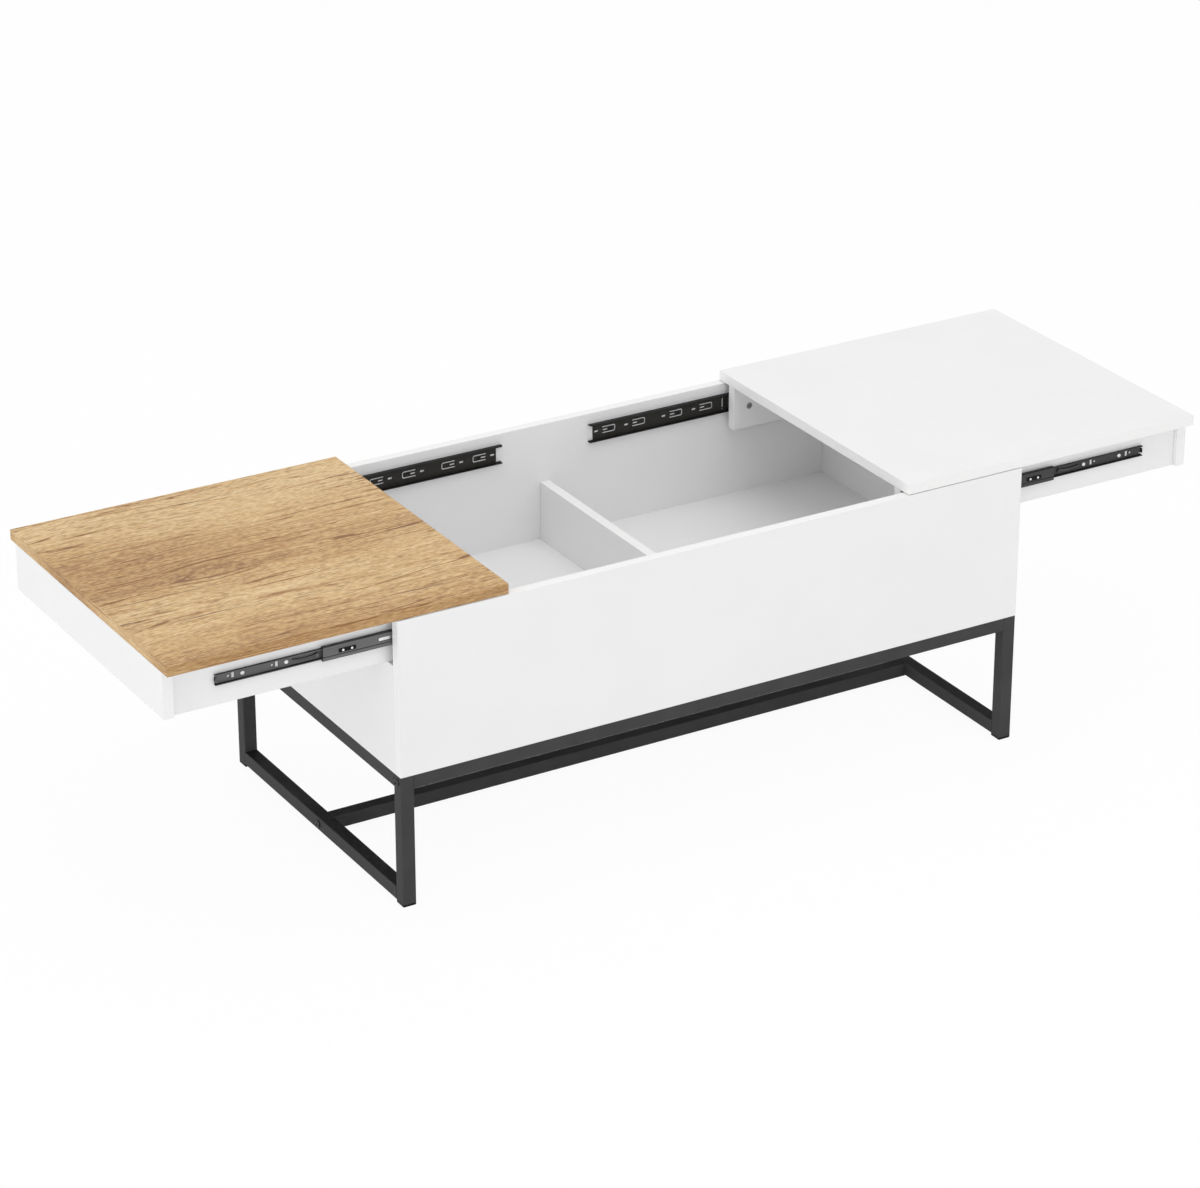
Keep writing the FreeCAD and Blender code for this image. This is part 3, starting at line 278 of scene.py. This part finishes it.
pattern = rivet_head()
for side in SIDES:
    low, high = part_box(side + "_slide_bumpers")
    middle = [(near + far) / 2 for near, far in zip(low, high)]
    heads = []
    for outer_face, turn in ((low[1], math.radians(90)), (high[1], math.radians(-90))):
        for step in (-RIVET_PITCH / 2, RIVET_PITCH / 2):
            select_only(pattern)
            bpy.ops.object.duplicate()
            head = bpy.context.object
            head.location = (middle[0] + step, outer_face, middle[2])
            head.rotation_euler = (turn, 0, 0)
            heads.append(head)
    select_only(*heads)
    bpy.ops.object.transform_apply(location=True, rotation=True, scale=True)
    bpy.ops.object.join()
    rivets = bpy.context.object
    rivets.name = side + "_bumper_rivets"
    rivets.data.materials.append(zinc)
    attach(rivets, side + "_middle")
select_only(pattern)
bpy.ops.object.delete()

# Cam locks: die-cast zinc drums with a cross recess, dull grey from the die.
# Each sits in a pocket bored in a board, and a turn of it draws its cam bolt in and closes the joint.
CAST_GREY = (0.37, 0.37, 0.37, 1)
CAST_DARK = (0.27, 0.27, 0.27, 1)
CAST_METAL = 0.7
CAST_ROUGHNESS = 0.5
CAST_CLOUDS = 500.0
CAST_DEPTH = 0.00004
CRUMBLY_NOISE = 4.0
cast, tree, shader, spots = start_finish("die_cast_zinc", CAST_METAL)
clouds = even_cloud(tree, spots, CAST_CLOUDS, CRUMBLY_NOISE)
wire(tree, shader, {"Base Color": mottled(tree, clouds, CAST_GREY, CAST_DARK), "Roughness": CAST_ROUGHNESS})
relief(tree, shader, clouds, CAST_DEPTH)
dress(cast, "box_cam_locks", "left_top_cam_locks", "right_top_cam_locks")

# White boards: particle board faced with white melamine, its edges closed with a glued plastic band.
# The faces have a fine pearl texture; the band is smoother, and a hairline of glue marks its joint.
BOARD_WHITE = (0.87, 0.87, 0.875, 1)
BOARD_SHADE = (0.855, 0.855, 0.86, 1)
BAND_WHITE = (0.885, 0.885, 0.88, 1)
GLUE_LINE = (0.70, 0.70, 0.695, 1)
BAND_FACING = (0.6, 0.4)
GLUE_FACE_SIDE = (0.999, 0.99)
GLUE_BAND_SIDE = (0.9, 0.96)
BOARD_ROUGHNESS = (0.36, 0.44)
BAND_POLISH = 0.08
BOARD_CLOUDS = 9.0
BOARD_PEARL = 800.0
BOARD_DEPTH = 0.00003


def white_board(name, thin_axis):
    """White board finish for boards whose thickness runs along one axis."""
    finish, tree, shader, spots = start_finish(name)
    flatness = facing(tree, spots)[thin_axis]
    clouds = even_cloud(tree, spots, BOARD_CLOUDS, CLOUDY_NOISE)
    band = ranged(tree, flatness, BAND_FACING)
    skin = tinted(tree, band, mottled(tree, clouds, BOARD_WHITE, BOARD_SHADE), BAND_WHITE)
    face_side = ranged(tree, flatness, GLUE_FACE_SIDE)
    glue = worked(tree, "MULTIPLY", face_side, ranged(tree, flatness, GLUE_BAND_SIDE))
    rough = ranged(tree, clouds, NOISE_BODY, BOARD_ROUGHNESS)
    rough = worked(tree, "SUBTRACT", rough, worked(tree, "MULTIPLY", band, BAND_POLISH))
    wire(tree, shader, {"Base Color": tinted(tree, glue, skin, GLUE_LINE), "Roughness": rough})
    relief(tree, shader, even_cloud(tree, spots, BOARD_PEARL), BOARD_DEPTH)
    return finish


board_across = white_board("white_board_on_edge_across", 0)
board_along = white_board("white_board_on_edge_along", 1)
board_lying = white_board("white_board_lying", 2)
dress(board_across, "divider_panel")
dress(board_along, "front_panel", "back_panel")
dress(board_lying, "floor_panel", "right_top_board")
for side in SIDES:
    dress(board_across, side + "_end_panel", side + "_end_apron")
    dress(board_along, side + "_front_apron", side + "_back_apron")

# Left top board: the same board faced on top and edges with an oak-grain print, plain white below.
# The grain runs along the table and its edge bands: growth rings that part round a knot in a darker
# heart, fine broken fibres, short dark pores and hairline drying cracks, pressed slightly into the face.
OAK_TONES = (
    (0.00, (0.270, 0.130, 0.048, 1)),
    (0.25, (0.425, 0.236, 0.094, 1)),
    (0.50, (0.562, 0.350, 0.157, 1)),
    (0.75, (0.680, 0.470, 0.237, 1)),
    (1.00, (0.770, 0.578, 0.327, 1)),
)
OAK_PORE = (0.215, 0.106, 0.047, 1)
OAK_CRACK = (0.110, 0.052, 0.025, 1)
OAK_BACKING = (0.84, 0.84, 0.84, 1)
OAK_ROUGHNESS = (0.46, 0.58)
OAK_SHINE = 0.3
PRESS_DEPTH = 0.00012
FIBRE_PRESS = 0.4

# Grain of the oak: noise cells to a metre along and across it, and the tone that each layer adds
NOISE_WHOLE = (0.25, 0.75)
NOISE_MIDDLE = 0.5
STREAK_CELLS = (3.0, 36.0)
STREAK_TONE = (0.57, 0.81)
LINE_CELLS = (10.0, 130.0)
LINE_TONE = (-0.13, 0.13)
FIBRE_CELLS = (105.0, 330.0)
FIBRE_TONE = (-0.26, 0.26)
FLOW_SWAY_CELLS = 2.6
FLOW_SWAY = (0.0, 0.050, 0.02)
RINGS_ACROSS = 70.0
RING_WANDER = 7.0
RING_WANDER_CELLS = (1.5, 8.0)
RING_PATCH_CELLS = (4.0, 16.0)
RING_TONE = (0.0, 0.12)
RING_SHARPNESS = 3.0
HAIRLINES = (
    ((2.0, 46.0), (6.0, 30.0), 0.72),
    ((2.2, 74.0), (7.0, 26.0), 0.42),
)
HAIR_PATCH = (0.48, 0.58)
HAIR_WIDTH = (0.018, 0.007)
PORE_CELLS = (50.0, 420.0)
PORE_CROWD_CELLS = (7.0, 24.0)
PORE_CROWD_SPAN = (0.40, 0.62)
PORE_CROWDING = (0.0, 0.060)
PORE_SPAN = (0.60, 0.68)
PORE_SHARE = 0.52

# Soft darker and paler zones of the oak board: centre, reach along and across, and tone added
OAK_ZONES = (
    ((-0.660, 0.030), (0.540, 0.130), -0.30),
    ((-0.860, 0.110), (0.260, 0.080), -0.16),
    ((-0.600, -0.275), (0.540, 0.120), -0.32),
    ((-0.480, 0.190), (0.360, 0.100), 0.14),
    ((-0.610, -0.125), (0.160, 0.060), 0.08),
    ((-0.760, -0.075), (0.130, 0.055), 0.14),
    ((-0.450, 0.075), (0.180, 0.065), 0.12),
    ((-0.800, 0.225), (0.150, 0.060), 0.07),
)
ZONE_SWAY_CELLS = 7.0
ZONE_SWAY = (0.10, 0.06, 0.0)
SPOT_FADE = (0.0, 0.8)

# Knot of the oak board, with the dashes that turn round it
KNOT_PLACE = (-0.652, -0.022)
KNOT_REACH = (0.090, 0.060)
KNOT_CORE = (0.034, 0.016)
KNOT_CORE_TONE = 0.05
KNOT_PARTING = 0.6
KNOT_STRETCH = 1.7
KNOT_TURN = 0.03
WHORL_CELLS = (95.0, 190.0, 1.0)
WHORL_SPAN = (0.50, 0.60)
WHORL_FADE = (0.1, 0.6)
WHORL_SHARE = (0.0, 0.70)

# Drying cracks of the oak board: centre and reach along the grain
OAK_CRACKS = (
    ((-0.775, 0.119), 0.062),
    ((-0.752, -0.052), 0.075),
    ((-0.815, -0.106), 0.040),
    ((-0.715, -0.134), 0.068),
    ((-0.360, -0.013), 0.045),
    ((-0.450, -0.205), 0.070),
    ((-0.590, 0.205), 0.050),
)
CRACK_HALF = 0.0017
CRACK_SOLID = 0.4
CRACK_STRAY = 0.030
CRACK_SWAY_CELLS = 14.0
CRACK_SWAY = (0.0, 0.016, 0.0)
CRACK_SHARE = (0.0, 0.85)

# Faces of the oak board, picked by how squarely they face along X or Z
END_FACING = (0.5, 0.6)
TOP_FACING = (0.5, 0.7)
BELOW_FACING = (-0.6, -0.7)
BAND_SHADE = (0.0, 0.05)
BAND_FINENESS = 4.0


def drawn_cloud(tree, place, cells, detail=SOFT_NOISE):
    """Noise drawn out along the grain, with so many cells to a metre along and across it."""
    return cloud(tree, place, (cells[0], cells[1], cells[1]), detail)


def together(tree, x=0.0, y=0.0, z=0.0):
    """A place from its X, Y and Z."""
    return add_node(tree, "ShaderNodeCombineXYZ", {0: x, 1: y, 2: z}).outputs[0]


def moved(tree, place, shift):
    """Places moved by a shift."""
    return add_node(tree, "ShaderNodeVectorMath", {0: place, 1: shift}, operation="ADD").outputs[0]


def swayed(tree, place, cells, reach):
    """Places moved about by soft noise, so far at most along each axis."""
    drift = add_node(tree, "ShaderNodeTexNoise", {"Vector": place, "Scale": cells, "Detail": PLAIN_NOISE})
    centred = moved(tree, drift.outputs["Color"], (-NOISE_MIDDLE, -NOISE_MIDDLE, -NOISE_MIDDLE))
    sway = add_node(tree, "ShaderNodeVectorMath", {0: centred, 1: reach}, operation="MULTIPLY")
    return moved(tree, place, sway.outputs[0])


def soft_spot(tree, place, centre, reach):
    """1 at a centre on the board, fading to 0 at its reach along and across."""
    shift = add_node(tree, "ShaderNodeVectorMath", {0: place, 1: centre + (0,)}, operation="SUBTRACT")
    scale = (1 / reach[0], 1 / reach[1], 0.0)
    spread = add_node(tree, "ShaderNodeMapping", {"Vector": shift.outputs[0], "Scale": scale})
    ball = add_node(tree, "ShaderNodeTexGradient", {"Vector": spread.outputs[0]}, gradient_type="SPHERICAL")
    return ranged(tree, ball.outputs["Fac"], SPOT_FADE)


oak, tree, shader, spots = start_finish("oak_grain_board")
face = spots.outputs["Object"]
flatness = facing(tree, spots)
x, y, z = split(tree, face)

# Flow of the grain: finer down the edge bands, across on the end bands, parted round the knot
board_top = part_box("left_top_board")[1][2]
depth = worked(tree, "MULTIPLY", worked(tree, "SUBTRACT", z, board_top), BAND_FINENESS)
depth = worked(tree, "ADD", depth, board_top)
end_band = ranged(tree, flatness[0], END_FACING)
ways = {0: end_band, 4: together(tree, x, y, depth), 5: together(tree, y, x, depth)}
along = add_node(tree, "ShaderNodeMix", ways, data_type="VECTOR").outputs[1]
knot = soft_spot(tree, face, KNOT_PLACE, KNOT_REACH)
parting = worked(tree, "MULTIPLY", worked(tree, "SUBTRACT", KNOT_PLACE[1], y), knot)
parting = together(tree, y=worked(tree, "MULTIPLY", parting, KNOT_PARTING))
flow = moved(tree, swayed(tree, along, FLOW_SWAY_CELLS, FLOW_SWAY), parting)

# Tone of the grain: streaks, lines and fibres, less rings and hairlines, with the zones and the knot
streaks = drawn_cloud(tree, flow, STREAK_CELLS)
lines = drawn_cloud(tree, flow, LINE_CELLS)
fibres = drawn_cloud(tree, flow, FIBRE_CELLS, PLAIN_NOISE)
tone = ranged(tree, streaks, NOISE_WHOLE, STREAK_TONE)
tone = worked(tree, "ADD", tone, ranged(tree, lines, NOISE_WHOLE, LINE_TONE))
tone = worked(tree, "ADD", tone, ranged(tree, fibres, NOISE_WHOLE, FIBRE_TONE))
hairs = 0.0
for hair_cells, patch_cells, darkness in HAIRLINES:
    hair_noise = drawn_cloud(tree, flow, hair_cells, PLAIN_NOISE)
    off_hair = worked(tree, "ABSOLUTE", worked(tree, "SUBTRACT", hair_noise, NOISE_MIDDLE))
    hair_here = ranged(tree, drawn_cloud(tree, along, patch_cells), HAIR_PATCH, (0.0, darkness))
    hair = worked(tree, "MULTIPLY", ranged(tree, off_hair, HAIR_WIDTH), hair_here)
    hairs = worked(tree, "MAXIMUM", hair, hairs)
tone = worked(tree, "SUBTRACT", tone, hairs)
wander = worked(tree, "MULTIPLY", drawn_cloud(tree, flow, RING_WANDER_CELLS, PLAIN_NOISE), RING_WANDER)
ring_count = worked(tree, "ADD", worked(tree, "MULTIPLY", split(tree, flow)[1], RINGS_ACROSS), wander)
ring = worked(tree, "POWER", worked(tree, "FRACT", ring_count), RING_SHARPNESS)
ring_here = ranged(tree, drawn_cloud(tree, along, RING_PATCH_CELLS), NOISE_CORE, RING_TONE)
tone = worked(tree, "SUBTRACT", tone, worked(tree, "MULTIPLY", ring, ring_here))
zone_place = swayed(tree, face, ZONE_SWAY_CELLS, ZONE_SWAY)
for centre, reach, lift in OAK_ZONES:
    zone = soft_spot(tree, zone_place, centre, reach)
    tone = worked(tree, "ADD", tone, worked(tree, "MULTIPLY", zone, lift))
core = soft_spot(tree, flow, KNOT_PLACE, KNOT_CORE)
tone = worked(tree, "ADD", tone, worked(tree, "MULTIPLY", core, KNOT_CORE_TONE))
tone = worked(tree, "SUBTRACT", tone, ranged(tree, flatness[2], BAND_FACING, BAND_SHADE))
ramp = add_node(tree, "ShaderNodeValToRGB", {"Fac": tone})
stops = ramp.color_ramp.elements
while len(stops) < len(OAK_TONES):
    stops.new(0.5)
for stop, (position, colour) in zip(stops, OAK_TONES):
    stop.position = position
    stop.color = colour

# Pores in crowds along the grain, and dashes that turn round the knot
crowd = ranged(tree, drawn_cloud(tree, along, PORE_CROWD_CELLS), PORE_CROWD_SPAN, PORE_CROWDING)
pore_noise = worked(tree, "ADD", drawn_cloud(tree, flow, PORE_CELLS), crowd)
out_x = worked(tree, "DIVIDE", worked(tree, "SUBTRACT", x, KNOT_PLACE[0]), KNOT_STRETCH)
out_y = worked(tree, "SUBTRACT", y, KNOT_PLACE[1])
out_squared = worked(tree, "MULTIPLY", out_x, out_x)
out_squared = worked(tree, "ADD", out_squared, worked(tree, "MULTIPLY", out_y, out_y))
bearing = worked(tree, "MULTIPLY", worked(tree, "ARCTAN2", out_y, out_x), KNOT_TURN)
whorl = together(tree, bearing, worked(tree, "SQRT", out_squared))
dashes = ranged(tree, cloud(tree, whorl, WHORL_CELLS), WHORL_SPAN)
dashes = worked(tree, "MULTIPLY", dashes, ranged(tree, knot, WHORL_FADE, WHORL_SHARE))
pores = worked(tree, "MAXIMUM", ranged(tree, pore_noise, PORE_SPAN), dashes)

# Drying cracks on the upper face alone
cracks = 0.0
crack_path = split(tree, swayed(tree, face, CRACK_SWAY_CELLS, CRACK_SWAY))[1]
for centre, reach in OAK_CRACKS:
    near = soft_spot(tree, face, centre, (reach, CRACK_STRAY))
    off_line = worked(tree, "ABSOLUTE", worked(tree, "SUBTRACT", crack_path, centre[1]))
    line = ranged(tree, off_line, (CRACK_HALF, CRACK_SOLID * CRACK_HALF))
    cracks = worked(tree, "MAXIMUM", worked(tree, "MULTIPLY", near, line), cracks)
cracks = worked(tree, "MULTIPLY", cracks, ranged(tree, flatness[2], TOP_FACING, CRACK_SHARE))

grain = tinted(tree, worked(tree, "MULTIPLY", pores, PORE_SHARE), ramp.outputs["Color"], OAK_PORE)
grain = tinted(tree, cracks, grain, OAK_CRACK)
below = ranged(tree, split(tree, spots.outputs["Normal"])[2], BELOW_FACING)
grain = tinted(tree, below, grain, OAK_BACKING)
rough = ranged(tree, streaks, NOISE_BODY, OAK_ROUGHNESS)
wire(tree, shader, {"Base Color": grain, "Roughness": rough, "Specular IOR Level": OAK_SHINE})
hollows = worked(tree, "MAXIMUM", pores, cracks)
pressed = worked(tree, "SUBTRACT", worked(tree, "MULTIPLY", fibres, FIBRE_PRESS), hollows)
relief(tree, shader, pressed, PRESS_DEPTH)
dress(oak, "left_top_board")

# Ball slides: rolled steel strip in a dark electrocoat, drawn lengthwise so that it shows faint lines.
# Painted shade darkens the rolled bends and flanges to black, and a painted shade line runs along the crease
# pressed into each middle member.
# Outer members are screwed to the box, inner ones to the aprons, and the middle ones run between.
OUTER_TONE = (0.030, 0.029, 0.026, 1)
# The left and right middle and inner members share one coat; their two tones are lit and shaded copies of it:
# painted light and shade.
SLIDE_LIT_AND_SHADED_TONES = {"left": (0.128, 0.128, 0.129, 1), "right": (0.054, 0.054, 0.054, 1)}
SLIDE_BEND_PAINTED_SHADE = (0.008, 0.008, 0.008, 1)
SLIDE_LINE_GAIN = 1.3
SLIDE_BEND_FACING = (0.985, 0.90)
SLIDE_SHADE_VARIATION = (0.75, 1.0)
SLIDE_ROUGHNESS = (0.34, 0.46)
SLIDE_SHINE = 0.14
SLIDE_LINE_CELLS = (6.0, 1500.0, 1500.0)
SLIDE_PATCHES = 40.0
SLIDE_DEPTH = 0.00002
CREASE_DROP = 0.0044
CREASE_SHADE_HALF = 0.0006
CREASE_SHADE_SOLID = 0.8
slide_low, slide_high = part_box("left_front_middle_slide")
crease_height = (slide_low[2] + slide_high[2]) / 2 - CREASE_DROP


def slide_coat(name, tone, shade_crease=False):
    """Electrocoat finish for slide members, with painted black shade in their bends, and on middle members a
    painted shade line along the crease.
    """
    finish, tree, shader, spots = start_finish(name)
    place = spots.outputs["Object"]
    lines = cloud(tree, place, SLIDE_LINE_CELLS, CLOUDY_NOISE)
    patches = even_cloud(tree, spots, SLIDE_PATCHES, CLOUDY_NOISE)
    paler = tuple(SLIDE_LINE_GAIN * part for part in tone[:3]) + (1,)
    coat = tinted(tree, ranged(tree, lines, NOISE_BODY), tone, paler)
    # Painted shade: the rolled bends and flanges, which face away from Y, are painted black.
    painted_shade = ranged(tree, facing(tree, spots)[1], SLIDE_BEND_FACING)
    if shade_crease:
        # Painted shade line along the crease of the middle members.
        off_crease = worked(tree, "SUBTRACT", split(tree, place)[2], crease_height)
        off_crease = worked(tree, "ABSOLUTE", off_crease)
        crease_shade = ranged(tree, off_crease, (CREASE_SHADE_HALF, CREASE_SHADE_SOLID * CREASE_SHADE_HALF))
        painted_shade = worked(tree, "MAXIMUM", painted_shade, crease_shade)
    painted_shade = worked(tree, "MULTIPLY", painted_shade, ranged(tree, patches, NOISE_BODY, SLIDE_SHADE_VARIATION))
    coat = tinted(tree, painted_shade, coat, SLIDE_BEND_PAINTED_SHADE)
    rough = ranged(tree, patches, NOISE_BODY, SLIDE_ROUGHNESS)
    wire(tree, shader, {"Base Color": coat, "Roughness": rough, "Specular IOR Level": SLIDE_SHINE})
    relief(tree, shader, lines, SLIDE_DEPTH)
    return finish


outer_coat = slide_coat("black_outer_slide_coat", OUTER_TONE)
for side in SIDES:
    # Each side gets its own painted light copy of the middle and inner coat.
    middle_coat = slide_coat(side + "_middle_slide_lit_shaded_coat", SLIDE_LIT_AND_SHADED_TONES[side], True)
    inner_coat = slide_coat(side + "_inner_slide_lit_shaded_coat", SLIDE_LIT_AND_SHADED_TONES[side])
    for corner in (side + "_front", side + "_back"):
        dress(outer_coat, corner + "_outer_slide")
        dress(middle_coat, corner + "_middle_slide")
        dress(inner_coat, corner + "_inner_slide")

# Studio: a plain white floor that keeps the table's soft shadow, an even white room round it,
# a broad soft lamp overhead, a low one at the left that reaches under the open top and one in front.
FLOOR_HALF = 20.0
FLOOR_DROP = 0.0003
PAPER_WHITE = (0.94, 0.94, 0.94, 1)
PAPER_ROUGHNESS = 0.9
PAPER_GLOW = 0.94
PURE_WHITE = (1, 1, 1, 1)
ROOM_LIGHT = 0.80
LAMPS = (
    ("top_lamp", (-0.6, -0.9, 4.2), 42.0, 4.0),
    ("left_lamp", (-9.0, -1.7, 0.85), 112.0, 1.6),
    ("front_lamp", (0.8, -4.4, 1.0), 13.0, 2.4),
)
bpy.ops.mesh.primitive_plane_add(size=2 * FLOOR_HALF, location=(0, 0, -FLOOR_DROP))
floor = bpy.context.object
floor.name = "studio_floor"
bpy.ops.object.select_all(action="DESELECT")


def seen_rays(tree):
    """1 for what the camera sees directly, in reflections or through glass."""
    rays = tree.nodes.new("ShaderNodeLightPath").outputs
    shown = worked(tree, "MAXIMUM", rays["Is Camera Ray"], rays["Is Glossy Ray"])
    return worked(tree, "MAXIMUM", shown, rays["Is Transmission Ray"])


paper = bpy.data.materials.new("studio_paper")
paper.use_nodes = True
tree = paper.node_tree
shader = tree.nodes["Principled BSDF"]
wire(tree, shader, {"Base Color": PAPER_WHITE, "Roughness": PAPER_ROUGHNESS, "Specular IOR Level": 0.0})
glow = add_node(tree, "ShaderNodeEmission", {"Color": PURE_WHITE, "Strength": 1.0})
share = worked(tree, "MULTIPLY", seen_rays(tree), PAPER_GLOW)
blend = add_node(tree, "ShaderNodeMixShader", {0: share, 1: shader.outputs[0], 2: glow.outputs[0]})
wire(tree, tree.nodes["Material Output"], {"Surface": blend.outputs[0]})
floor.data.materials.append(paper)

room = bpy.data.worlds.new("studio_room")
room.use_nodes = True
tree = room.node_tree
strength = ranged(tree, seen_rays(tree), (0.0, 1.0), (ROOM_LIGHT, 1.0))
wire(tree, tree.nodes["Background"], {"Color": PURE_WHITE, "Strength": strength})
bpy.context.scene.world = room

for name, place, power, size in LAMPS:
    bpy.ops.object.light_add(type="AREA", location=place)
    lamp = bpy.context.object
    lamp.name = name
    lamp.data.energy = power
    lamp.data.size = size
    lamp.rotation_euler = Vector(place).to_track_quat("Z", "Y").to_euler()

# Camera: held level with a long lens, about six metres off and to the left of the table's front.
# It looks down on the open top at the photograph's angle and framing.
CAMERA_PLACE = (-2.8069, -4.6735, 2.7835)
CAMERA_AZIMUTH = math.radians(-30.581)
CAMERA_ELEVATION = math.radians(24.941)
CAMERA_LENS = 126.807
CAMERA_SIGHT = 200.0
bpy.ops.object.camera_add(location=CAMERA_PLACE)
camera = bpy.context.object
camera.rotation_euler = (math.radians(90) - CAMERA_ELEVATION, 0, CAMERA_AZIMUTH)
camera.data.lens = CAMERA_LENS
camera.data.sensor_fit = "HORIZONTAL"
camera.data.clip_end = CAMERA_SIGHT
bpy.context.scene.camera = camera
bpy.context.scene.view_settings.view_transform = "Standard"
